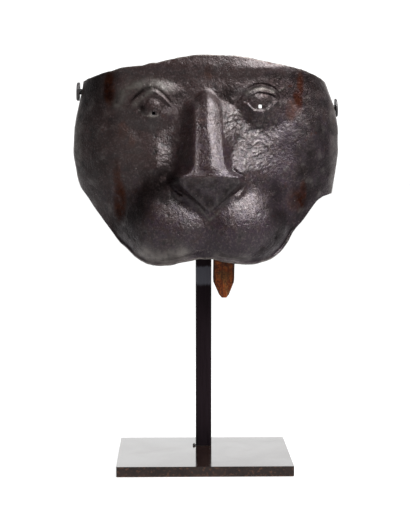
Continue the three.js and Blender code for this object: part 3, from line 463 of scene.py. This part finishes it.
def build_plate():
    nu, nv = NU + 1, NV + 1
    mu, mv = NU // 2 + 1, NV // 2 + 1
    verts = [P.reshape(-1, 3), Qi.reshape(-1, 3)]
    O = np.arange(nu * nv).reshape(nu, nv)
    I = np.arange(mu * mv).reshape(mu, mv) + nu * nv
    hole_o = np.zeros((NU, NV), bool)
    hole_i = np.zeros((NU // 2, NV // 2), bool)
    for i0, j0, c in BLOCKS:
        hole_o[i0 - c:i0 + c, j0 - c:j0 + c] = True
        hole_i[(i0 - c) // 2:(i0 + c) // 2, (j0 - c) // 2:(j0 + c) // 2] = True
    faces = []
    a, b, c2, d = O[:-1, :-1], O[1:, :-1], O[1:, 1:], O[:-1, 1:]
    q = np.stack([a, b, c2, d], -1)[~hole_o]
    faces += q.tolist()
    a, b, c2, d = I[:-1, :-1], I[1:, :-1], I[1:, 1:], I[:-1, 1:]
    q = np.stack([a, d, c2, b], -1)[~hole_i]
    faces += q.tolist()

    def strip(o, i, flip):
        # o has 2n+1 outer vertices, i has n+1 inner ones
        n = len(i) - 1
        for t in range(n):
            tris = [(o[2 * t], i[t], o[2 * t + 1]), (o[2 * t + 1], i[t], i[t + 1]), (o[2 * t + 1], i[t + 1], o[2 * t + 2])]
            for x in tris:
                faces.append([int(v) for v in (x[::-1] if flip else x)])

    strip(O[:, 0], I[:, 0], False)
    strip(O[:, -1], I[:, -1], True)
    strip(O[0, :], I[0, :], True)
    strip(O[-1, :], I[-1, :], False)
    for i0, j0, c in BLOCKS:
        k = c // 2
        ii, jj = i0 // 2, j0 // 2
        def ring(M, i, j, r):
            pts = [(i - r + t, j - r) for t in range(2 * r)] + [(i + r, j - r + t) for t in range(2 * r)]
            pts += [(i + r - t, j + r) for t in range(2 * r)] + [(i - r, j + r - t) for t in range(2 * r)]
            pts.append(pts[0])
            return [M[p] for p in pts]
        strip(ring(O, i0, j0, c), ring(I, ii, jj, k), True)
    me = bpy.data.meshes.new("iron_face")
    me.from_pydata((np.concatenate(verts) / 1000.0).tolist(), [], faces)
    me.validate()
    me.update()
    for p in me.polygons:
        p.use_smooth = True
    for name, m in MASKS.items():
        at = me.attributes.new(name, "FLOAT", "POINT")
        full = np.zeros(len(me.vertices), np.float32)
        full[:nu * nv] = m.reshape(-1)
        at.data.foreach_set("value", full)
    ob = bpy.data.objects.new("iron_face", me)
    scene.collection.objects.link(ob)
    return ob


plate = build_plate()
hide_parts("face_plate")
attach(plate, "root")


# --------------------------------------------------------------- materials
def new_mat(name):
    m = bpy.data.materials.new(name)
    m.use_nodes = True
    nt = m.node_tree
    nt.nodes.clear()
    out = nt.nodes.new("ShaderNodeOutputMaterial")
    b = nt.nodes.new("ShaderNodeBsdfPrincipled")
    nt.links.new(b.outputs[0], out.inputs[0])
    return m, nt, b


def node(nt, kind, **kw):
    n = nt.nodes.new(kind)
    for k, v in kw.items():
        if k.startswith("i_"):
            n.inputs[k[2:].replace("_", " ")].default_value = v
        else:
            setattr(n, k, v)
    return n


def noise_tex(nt, vec, scale, detail=4.0, rough=0.55, dist=0.0):
    n = node(nt, "ShaderNodeTexNoise")
    n.inputs["Scale"].default_value = scale
    n.inputs["Detail"].default_value = detail
    n.inputs["Roughness"].default_value = rough
    n.inputs["Distortion"].default_value = dist
    nt.links.new(vec, n.inputs["Vector"])
    return n.outputs["Fac"]


def ramp(nt, fac, stops):
    r = node(nt, "ShaderNodeValToRGB")
    el = r.color_ramp.elements
    while len(el) < len(stops):
        el.new(0.5)
    for e, (p, c) in zip(el, stops):
        e.position = p
        e.color = c if len(c) == 4 else (*c, 1)
    nt.links.new(fac, r.inputs[0])
    return r.outputs[0]


def mapr(nt, val, a, b, c=0.0, d=1.0, smooth=True):
    m = node(nt, "ShaderNodeMapRange")
    m.interpolation_type = "SMOOTHSTEP" if smooth else "LINEAR"
    for i, v in zip(("From Min", "From Max", "To Min", "To Max"), (a, b, c, d)):
        m.inputs[i].default_value = v
    nt.links.new(val, m.inputs["Value"])
    return m.outputs[0]


def math_(nt, op, a, b=None, c=None):
    m = node(nt, "ShaderNodeMath", operation=op)
    for i, v in enumerate((a, b, c)):
        if v is None:
            continue
        if isinstance(v, (int, float)):
            m.inputs[i].default_value = v
        else:
            nt.links.new(v, m.inputs[i])
    return m.outputs[0]


def mix(nt, fac, a, b, kind="MIX"):
    m = node(nt, "ShaderNodeMix", data_type="RGBA", blend_type=kind)
    m.clamp_factor = True
    for i, v in ((0, fac), (6, a), (7, b)):
        if isinstance(v, (int, float)):
            m.inputs[i].default_value = v
        elif isinstance(v, tuple):
            m.inputs[i].default_value = v if len(v) == 4 else (*v, 1)
        else:
            nt.links.new(v, m.inputs[i])
    return m.outputs[2]


def bump(nt, height, strength, dist, prev=None):
    b = node(nt, "ShaderNodeBump")
    b.inputs["Strength"].default_value = strength
    b.inputs["Distance"].default_value = dist
    nt.links.new(height, b.inputs["Height"])
    if prev is not None:
        nt.links.new(prev, b.inputs["Normal"])
    return b.outputs[0]


def spot(nt, pos, cx, cz, rx, rz, soft=0.5):
    """soft elliptic mask in the face's own x, z (metres)"""
    sep = node(nt, "ShaderNodeSeparateXYZ")
    nt.links.new(pos, sep.inputs[0])
    dx = math_(nt, "DIVIDE", math_(nt, "SUBTRACT", sep.outputs[0], cx / 1000), rx / 1000)
    dz = math_(nt, "DIVIDE", math_(nt, "SUBTRACT", sep.outputs[2], cz / 1000), rz / 1000)
    r = math_(nt, "ADD", math_(nt, "MULTIPLY", dx, dx), math_(nt, "MULTIPLY", dz, dz))
    return mapr(nt, r, 1.0 + soft, max(0.0, 1.0 - soft), 0, 1)


def voro(nt, vec, scale, feature="F1", rnd=1.0):
    n = node(nt, "ShaderNodeTexVoronoi", feature=feature)
    n.inputs["Scale"].default_value = scale
    n.inputs["Randomness"].default_value = rnd
    nt.links.new(vec, n.inputs["Vector"])
    return n.outputs["Distance"]


def attr(nt, name):
    n = node(nt, "ShaderNodeAttribute", attribute_name=name)
    return n.outputs["Fac"]


def iron_material():
    m, nt, b = new_mat("forged_iron")
    geo = node(nt, "ShaderNodeTexCoord")
    pos = geo.outputs["Object"]
    sep = node(nt, "ShaderNodeSeparateXYZ")
    nt.links.new(pos, sep.inputs[0])
    big = noise_tex(nt, pos, 24, 3, 0.5, 0.3)
    blot = noise_tex(nt, pos, 62, 5, 0.6, 0.6)
    mid = noise_tex(nt, pos, 170, 6, 0.70, 0.3)
    fine = noise_tex(nt, pos, 640, 3, 0.7)
    high = attr(nt, "high")
    # brown towards the wearer's right, violet on the muzzle and the other side
    side = math_(nt, "ADD", math_(nt, "MULTIPLY", sep.outputs[0], 4.0), math_(nt, "MULTIPLY", math_(nt, "SUBTRACT", 0.21, sep.outputs[2]), 5.0))
    hue = math_(nt, "ADD", side, math_(nt, "ADD", big, math_(nt, "MULTIPLY", math_(nt, "SUBTRACT", noise_tex(nt, pos, 230, 3, 0.6), 0.5), 1.6)))
    base = ramp(nt, mapr(nt, hue, 0.1, 1.0), [(0.1, (0.0116, 0.0050, 0.0045)), (0.45, (0.0104, 0.0040, 0.0045)), (0.9, (0.0094, 0.0038, 0.0082))])
    base = mix(nt, mapr(nt, blot, 0.52, 0.68, 0, 0.8), base, (0.0125, 0.0098, 0.0096))
    base = mix(nt, mapr(nt, blot, 0.46, 0.32, 0, 0.85), base, (0.0045, 0.0020, 0.0022))
    base = mix(nt, mapr(nt, fine, 0.50, 0.64, 0, 0.8), base, (0.034, 0.0245, 0.0252))
    grain = noise_tex(nt, pos, 1150, 2, 0.6)
    base = mix(nt, mapr(nt, grain, 0.50, 0.36, 0, 0.75), base, (0.0030, 0.0018, 0.0018))
    base = mix(nt, mapr(nt, noise_tex(nt, pos, 480, 2, 0.6), 0.70, 0.78, 0, 0.8), base, (0.11, 0.10, 0.095))
    # painted shade: darker, duller skin over the folds, sides, creases and pad
    grime_and_painted_shade = attr(nt, "grime_and_painted_shade")
    base = mix(nt, math_(nt, "MULTIPLY", grime_and_painted_shade, mapr(nt, fine, 0.44, 0.60, 0.9, 0.6)), base, (0.0030, 0.0017, 0.0016))
    # painted highlight: paler skin on the lit brow, lids, pad edges and cheeks
    base = mix(nt, math_(nt, "MULTIPLY", attr(nt, "painted_highlight"), 0.75), base, (0.040, 0.037, 0.033))
    # painted reflection: paler skin along the lower edges, the outer sides and round the left sight hole
    base = mix(nt, math_(nt, "MULTIPLY", attr(nt, "painted_reflection"), 0.8), base, (0.105, 0.094, 0.086))
    # rubbed high places, grime in the low ones
    base = mix(nt, mapr(nt, high, 0.10, 0.70, 0, 0.7), base, (0.040, 0.035, 0.033))
    base = mix(nt, mapr(nt, high, -0.05, -0.60, 0, 0.8), base, (0.0030, 0.0018, 0.0018))
    # rust stains
    rust = None
    brk = mapr(nt, noise_tex(nt, pos, 105, 6, 0.7, 0.6), 0.33, 0.60, 0.40, 1.0)
    for cx, cz, rx, rz, s in ((-65.5, 262, 3.8, 12, 0.62), (-58.5, 184, 4.2, 14, 1.0), (-60.5, 203, 3.0, 9, 0.6), (3.2, 273, 3.0, 5, 0.45), (68, 266, 2.4, 8, 0.42), (65.5, 252, 3.4, 8, 0.5),
                              (61, 247, 4.0, 7, 0.65), (65, 184, 6.5, 7.5, 0.62), (70, 190, 2.6, 8, 0.45), (-56, 233, 3.4, 6, 0.45), (-50, 226, 2.4, 4, 0.35)):
        k = math_(nt, "MULTIPLY", spot(nt, pos, cx, cz, rx, rz, 0.95), s)
        rust = k if rust is None else math_(nt, "MAXIMUM", rust, k)
    # faint rust freckles everywhere
    freck = math_(nt, "MULTIPLY", mapr(nt, noise_tex(nt, pos, 90, 6, 0.7, 1.0), 0.60, 0.74), 0.5)
    rust = math_(nt, "MAXIMUM", math_(nt, "MULTIPLY", rust, brk), freck)
    base = mix(nt, rust, base, mix(nt, mapr(nt, mid, 0.4, 0.6), (0.0135, 0.0032, 0.0013), (0.029, 0.0083, 0.0030)))
    # painted reflection of the backdrop: the outer flanks grow paler as they turn edge-on to the view
    lw = node(nt, "ShaderNodeLayerWeight")
    lw.inputs["Blend"].default_value = 0.5
    painted_edge_reflection = mapr(nt, math_(nt, "ABSOLUTE", math_(nt, "SUBTRACT", sep.outputs[0], 0.0022)), 0.074, 0.084)
    base = mix(nt, math_(nt, "MULTIPLY", painted_edge_reflection, mapr(nt, lw.outputs["Facing"], 0.55, 0.82, 0, 0.6)), base, (0.120, 0.108, 0.102))
    # worn bare rim, painted paler as a reflection of the floor as well
    worn_rim_and_reflection = math_(nt, "MULTIPLY", attr(nt, "worn_rim_and_reflection"), mapr(nt, mid, 0.35, 0.6))
    base = mix(nt, worn_rim_and_reflection, base, (0.17, 0.15, 0.135))
    nt.links.new(base, b.inputs["Base Color"])
    rr = mapr(nt, mid, 0.32, 0.68, 0.29, 0.48, False)
    rr = math_(nt, "ADD", rr, math_(nt, "MULTIPLY", rust, 0.35))
    rr = math_(nt, "ADD", rr, math_(nt, "MULTIPLY", grime_and_painted_shade, 0.08))
    rr = math_(nt, "ADD", rr, math_(nt, "MULTIPLY", math_(nt, "SUBTRACT", fine, 0.5), -0.35))
    rr = math_(nt, "SUBTRACT", rr, math_(nt, "MULTIPLY", mapr(nt, high, 0.0, 0.8), 0.10))
    nt.links.new(rr, b.inputs["Roughness"])
    met = math_(nt, "ADD", 0.30, math_(nt, "MULTIPLY", grime_and_painted_shade, 0.58))
    met = math_(nt, "ADD", met, math_(nt, "SUBTRACT", math_(nt, "MULTIPLY", worn_rim_and_reflection, 0.6), math_(nt, "MULTIPLY", rust, -0.5)))
    nt.links.new(met, b.inputs["Metallic"])
    b.inputs["Specular IOR Level"].default_value = 0.345
    b.inputs["Specular Tint"].default_value = (0.965, 0.94, 0.955, 1)
    pits = mapr(nt, voro(nt, pos, 420), 0.05, 0.28)
    sparse = mapr(nt, noise_tex(nt, pos, 120, 3, 0.6), 0.42, 0.62)
    pit = math_(nt, "MULTIPLY", math_(nt, "SUBTRACT", 1.0, pits), sparse)
    wrk = math_(nt, "ADD", math_(nt, "MULTIPLY", mid, 0.7), math_(nt, "MULTIPLY", noise_tex(nt, pos, 330, 5, 0.65, 0.5), 0.4))
    hgt = math_(nt, "ADD", math_(nt, "MULTIPLY", wrk, attr(nt, "coarse")), math_(nt, "MULTIPLY", pit, -0.25))
    n1 = bump(nt, hgt, 0.7, 0.0012)
    n2 = bump(nt, math_(nt, "ADD", math_(nt, "MULTIPLY", fine, 0.7), math_(nt, "MULTIPLY", grain, 0.3)), 0.75, 0.00055, n1)
    nt.links.new(n2, b.inputs["Normal"])
    return m


plate.data.materials.append(iron_material())


def simple(name, col, rough, metal, bump_scale=300, bstr=0.1, spec=0.5, coat=0.0, var=0.15):
    m, nt, b = new_mat(name)
    pos = node(nt, "ShaderNodeTexCoord").outputs["Object"]
    n = noise_tex(nt, pos, bump_scale, 4, 0.6)
    lo = tuple(c * (1 - var) for c in col)
    hi = tuple(c * (1 + var) for c in col)
    nt.links.new(ramp(nt, n, [(0.3, lo), (0.7, hi)]), b.inputs["Base Color"])
    nt.links.new(mapr(nt, n, 0.3, 0.7, rough * 0.85, rough * 1.15, False), b.inputs["Roughness"])
    b.inputs["Metallic"].default_value = metal
    b.inputs["Specular IOR Level"].default_value = spec
    b.inputs["Coat Weight"].default_value = coat
    nt.links.new(bump(nt, n, bstr, 0.0003), b.inputs["Normal"])
    return m


def give(obj, mat):
    obj.data.materials.clear()
    obj.data.materials.append(mat)


stud_mat = simple("stud_iron", (0.020, 0.018, 0.018), 0.42, 0.4, 600, 0.3)
for n in ("side_stud_left", "side_stud_right"):
    give(nodes[n], stud_mat)
give(nodes["strap_rivet"], plate.data.materials[0])
def post_material():
    m, nt, b = new_mat("post_satin")
    pos = node(nt, "ShaderNodeTexCoord").outputs["Object"]
    sep = node(nt, "ShaderNodeSeparateXYZ")
    nt.links.new(pos, sep.inputs[0])
    st = node(nt, "ShaderNodeMapping")
    st.inputs["Scale"].default_value = (9, 9, 0.6)
    nt.links.new(pos, st.inputs["Vector"])
    streak = noise_tex(nt, st.outputs[0], 60, 4, 0.6)
    fine = noise_tex(nt, pos, 500, 3, 0.6)
    col = ramp(nt, streak, [(0.35, (0.0020, 0.0014, 0.0017)), (0.65, (0.0034, 0.0024, 0.0030))])
    # painted reflection: a paler band on the post just below the chin edge
    z = math_(nt, "ADD", sep.outputs[2], math_(nt, "MULTIPLY", streak, 0.003))
    band = math_(nt, "MULTIPLY", mapr(nt, z, 0.1235, 0.1265), mapr(nt, z, 0.1390, 0.1372))
    col = mix(nt, math_(nt, "MULTIPLY", band, 0.9), col, (0.060, 0.062, 0.074))
    nt.links.new(col, b.inputs["Base Color"])
    nt.links.new(mapr(nt, streak, 0.3, 0.7, 0.24, 0.34, False), b.inputs["Roughness"])
    b.inputs["Specular IOR Level"].default_value = 0.08
    b.inputs["Specular Tint"].default_value = (1.0, 0.66, 0.80, 1)
    nt.links.new(bump(nt, fine, 0.06, 0.0003), b.inputs["Normal"])
    return m


def base_material():
    m, nt, b = new_mat("base_gloss")
    pos = node(nt, "ShaderNodeTexCoord").outputs["Object"]
    sep = node(nt, "ShaderNodeSeparateXYZ")
    nt.links.new(pos, sep.inputs[0])
    geo = node(nt, "ShaderNodeNewGeometry")
    ns = node(nt, "ShaderNodeSeparateXYZ")
    nt.links.new(geo.outputs["True Normal"], ns.inputs[0])
    top = mapr(nt, ns.outputs[2], 0.5, 0.9)
    mid = noise_tex(nt, pos, 60, 5, 0.6, 0.8)
    fine = noise_tex(nt, pos, 420, 4, 0.6)
    col = ramp(nt, mid, [(0.35, (0.0044, 0.0022, 0.0017)), (0.65, (0.0090, 0.0048, 0.0036))])
    edge = math_(nt, "MULTIPLY", mapr(nt, sep.outputs[2], 0.0012, 0.0, 0, 0.8), mapr(nt, fine, 0.42, 0.6))
    edge = math_(nt, "MAXIMUM", edge, math_(nt, "MULTIPLY", math_(nt, "SUBTRACT", 1.0, top), math_(nt, "MULTIPLY", mapr(nt, fine, 0.52, 0.66), 0.5)))
    col = mix(nt, edge, col, (0.05, 0.022, 0.012))
    nt.links.new(col, b.inputs["Base Color"])
    nt.links.new(mapr(nt, mid, 0.3, 0.7, 0.09, 0.17, False), b.inputs["Roughness"])
    b.inputs["Specular IOR Level"].default_value = 0.17
    # the lacquer is dulled in soft drifts towards the front right
    drift = math_(nt, "ADD", math_(nt, "MULTIPLY", sep.outputs[0], 2.2), math_(nt, "MULTIPLY", sep.outputs[1], -1.8))
    drift = math_(nt, "ADD", drift, math_(nt, "MULTIPLY", noise_tex(nt, pos, 22, 4, 0.55, 0.8), 1.1))
    wear = mapr(nt, drift, 0.20, 1.0, 1.0, 0.74)
    nt.links.new(math_(nt, "MULTIPLY", top, wear), b.inputs["Coat Weight"])
    b.inputs["Coat Roughness"].default_value = 0.07
    b.inputs["Coat IOR"].default_value = 2.35
    nt.links.new(bump(nt, mid, 0.05, 0.0006), b.inputs["Normal"])
    return m


def leather_material():
    m, nt, b = new_mat("leather")
    pos = node(nt, "ShaderNodeTexCoord").outputs["Object"]
    sep = node(nt, "ShaderNodeSeparateXYZ")
    nt.links.new(pos, sep.inputs[0])
    st = node(nt, "ShaderNodeMapping")
    st.inputs["Scale"].default_value = (1, 1, 0.22)
    nt.links.new(pos, st.inputs["Vector"])
    streak = noise_tex(nt, st.outputs[0], 420, 5, 0.65, 0.4)
    blot = noise_tex(nt, pos, 95, 5, 0.6, 0.5)
    grain = noise_tex(nt, pos, 900, 3, 0.6)
    col = ramp(nt, streak, [(0.32, (0.030, 0.0050, 0.0010)), (0.52, (0.072, 0.0150, 0.0024)), (0.72, (0.135, 0.036, 0.0070))])
    col = mix(nt, mapr(nt, blot, 0.53, 0.63, 0, 0.7), col, (0.048, 0.022, 0.0065))
    col = mix(nt, mapr(nt, blot, 0.49, 0.38, 0, 0.8), col, (0.010, 0.0035, 0.0020))
    col = mix(nt, mapr(nt, grain, 0.55, 0.64, 0, 0.6), col, (0.105, 0.041, 0.0115))
    col = mix(nt, mapr(nt, grain, 0.46, 0.38, 0, 0.7), col, (0.008, 0.0030, 0.0015))
    # darker lines along both edges
    dx = math_(nt, "ABSOLUTE", math_(nt, "SUBTRACT", sep.outputs[0], 0.0140))
    col = mix(nt, mapr(nt, dx, 0.0052, 0.0070, 0, 0.8), col, (0.010, 0.0030, 0.0014))
    # two scuffed grooves down the middle
    gx = math_(nt, "ABSOLUTE", math_(nt, "SUBTRACT", math_(nt, "ABSOLUTE", math_(nt, "SUBTRACT", sep.outputs[0], 0.0150)), 0.0022))
    col = mix(nt, math_(nt, "MULTIPLY", mapr(nt, gx, 0.0009, 0.0002), mapr(nt, streak, 0.4, 0.6, 0.2, 0.8)), col, (0.016, 0.0060, 0.0030))
    nt.links.new(col, b.inputs["Base Color"])
    nt.links.new(mapr(nt, grain, 0.3, 0.7, 0.55, 0.8, False), b.inputs["Roughness"])
    b.inputs["Specular IOR Level"].default_value = 0.08
    n1 = bump(nt, streak, 0.5, 0.0005)
    nt.links.new(bump(nt, grain, 0.4, 0.0002, n1), b.inputs["Normal"])
    return m


give(nodes["stand_post"], post_material())
give(nodes["stand_crossbar"], nodes["stand_post"].data.materials[0])
give(nodes["stand_base"], base_material())
give(nodes["chin_strap"], leather_material())


def weld_bead():
    """irregular bead of weld on the base, against the post's outer corner"""
    rs = np.random.RandomState(5)
    verts, faces, nl, nm = [], [], 9, 16
    cx, cy, cz = -0.00655, 0.0200, 0.0071
    for i in range(nl + 1):
        la = math.pi / 2 * i / nl
        for j in range(nm):
            lo = 2 * math.pi * j / nm
            r = 1 + 0.16 * math.sin(3 * lo + 1.2 + 2 * la) + 0.10 * rs.uniform(-1, 1) * math.cos(la)
            verts.append((cx + 0.00105 * r * math.cos(la) * math.cos(lo), cy + 0.0021 * r * math.cos(la) * math.sin(lo), cz + 0.0015 * math.sin(la) * (1 + 0.1 * math.sin(2 * lo))))
    # closed underneath by a centre point, on top by another
    for i in range(nl - 1):
        for j in range(nm):
            a, b_ = i * nm + j, i * nm + (j + 1) % nm
            faces.append((a, b_, b_ + nm, a + nm))
    verts = verts[:nl * nm]
    top_i, bot_i = len(verts), len(verts) + 1
    verts += [(cx, cy, cz + 0.00152), (cx, cy, cz)]
    for j in range(nm):
        faces.append(((nl - 1) * nm + j, (nl - 1) * nm + (j + 1) % nm, top_i))
        faces.append(((j + 1) % nm, j, bot_i))
    me_ = bpy.data.meshes.new("weld_bead")
    me_.from_pydata(verts, [], faces)
    for pl in me_.polygons:
        pl.use_smooth = True
    o = bpy.data.objects.new("weld_bead", me_)
    scene.collection.objects.link(o)
    me_.materials.append(simple("weld_iron", (0.006, 0.0045, 0.0045), 0.35, 0.3, 900, 0.4, 0.15))
    return o


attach(weld_bead(), "root")


# ------------------------------------------------------------ stage, lights
def area(name, loc, target, sx_, sy_, energy, colour=(1, 1, 1)):
    l = bpy.data.lights.new(name, "AREA")
    l.shape = "RECTANGLE"
    l.size, l.size_y = sx_, sy_
    l.energy = energy
    l.color = colour
    o = bpy.data.objects.new(name, l)
    scene.collection.objects.link(o)
    o.location = loc
    o.rotation_euler = (Vector(target) - Vector(loc)).to_track_quat("-Z", "Y").to_euler()
    return o


area("key", (0.60, -0.62, 1.15), (0.01, 0, 0.21), 0.95, 0.95, 104)
area("fill_left", (-1.05, -0.65, 0.55), (0, 0, 0.2), 0.5, 0.7, 2.3, (1.0, 0.90, 0.88))

world = bpy.data.worlds.new("world")
scene.world = world
world.use_nodes = True
wn = world.node_tree
wn.nodes.clear()
wo = wn.nodes.new("ShaderNodeOutputWorld")
bg = wn.nodes.new("ShaderNodeBackground")
tc = wn.nodes.new("ShaderNodeTexCoord")
sp = wn.nodes.new("ShaderNodeSeparateXYZ")
mr = wn.nodes.new("ShaderNodeMapRange")
mr.interpolation_type = "SMOOTHSTEP"
for i_, v_ in zip(("From Min", "From Max", "To Min", "To Max"), (0.13, 0.80, 0.026, 1.2)):
    mr.inputs[i_].default_value = v_
lp = wn.nodes.new("ShaderNodeLightPath")
mx = wn.nodes.new("ShaderNodeMath")
mx.operation = "MAXIMUM"
wn.links.new(tc.outputs["Generated"], sp.inputs[0])
wn.links.new(sp.outputs[1], mr.inputs["Value"])
wn.links.new(mr.outputs[0], mx.inputs[0])
wn.links.new(lp.outputs["Is Camera Ray"], mx.inputs[1])
wn.links.new(mx.outputs[0], bg.inputs["Strength"])
bg.inputs["Color"].default_value = (1, 1, 1, 1)
wn.links.new(bg.outputs[0], wo.inputs[0])

me = bpy.data.meshes.new("floor")
me.from_pydata([(-6, -3, -0.0005), (6, -3, -0.0005), (6, 9, -0.0005), (-6, 9, -0.0005)], [], [(0, 1, 2, 3)])
floor = bpy.data.objects.new("floor", me)
scene.collection.objects.link(floor)
fm, nt, b = new_mat("floor_paper")
pos = node(nt, "ShaderNodeTexCoord").outputs["Object"]
n = noise_tex(nt, pos, 40, 3, 0.5)
nt.links.new(ramp(nt, n, [(0.3, (0.15, 0.15, 0.15)), (0.7, (0.16, 0.16, 0.16))]), b.inputs["Base Color"])
b.inputs["Roughness"].default_value = 0.8
sp = node(nt, "ShaderNodeSeparateXYZ")
nt.links.new(pos, sp.inputs[0])
# painted light: the paper glows most under the object, and its glow falls off towards the lamp side
far = math_(nt, "SUBTRACT", math_(nt, "MULTIPLY", sp.outputs[0], 0.8), sp.outputs[1])
nt.links.new(math_(nt, "ADD", mapr(nt, far, 0.30, 0.75, 0.88, 0.42), math_(nt, "MULTIPLY", n, 0.02)), b.inputs["Emission Strength"])
b.inputs["Emission Color"].default_value = (1, 1, 1, 1)
me.materials.append(fm)

scene.view_settings.view_transform = "Standard"
scene.view_settings.look = "None"
scene.view_settings.exposure = 0.0
scene.view_settings.gamma = 1.0
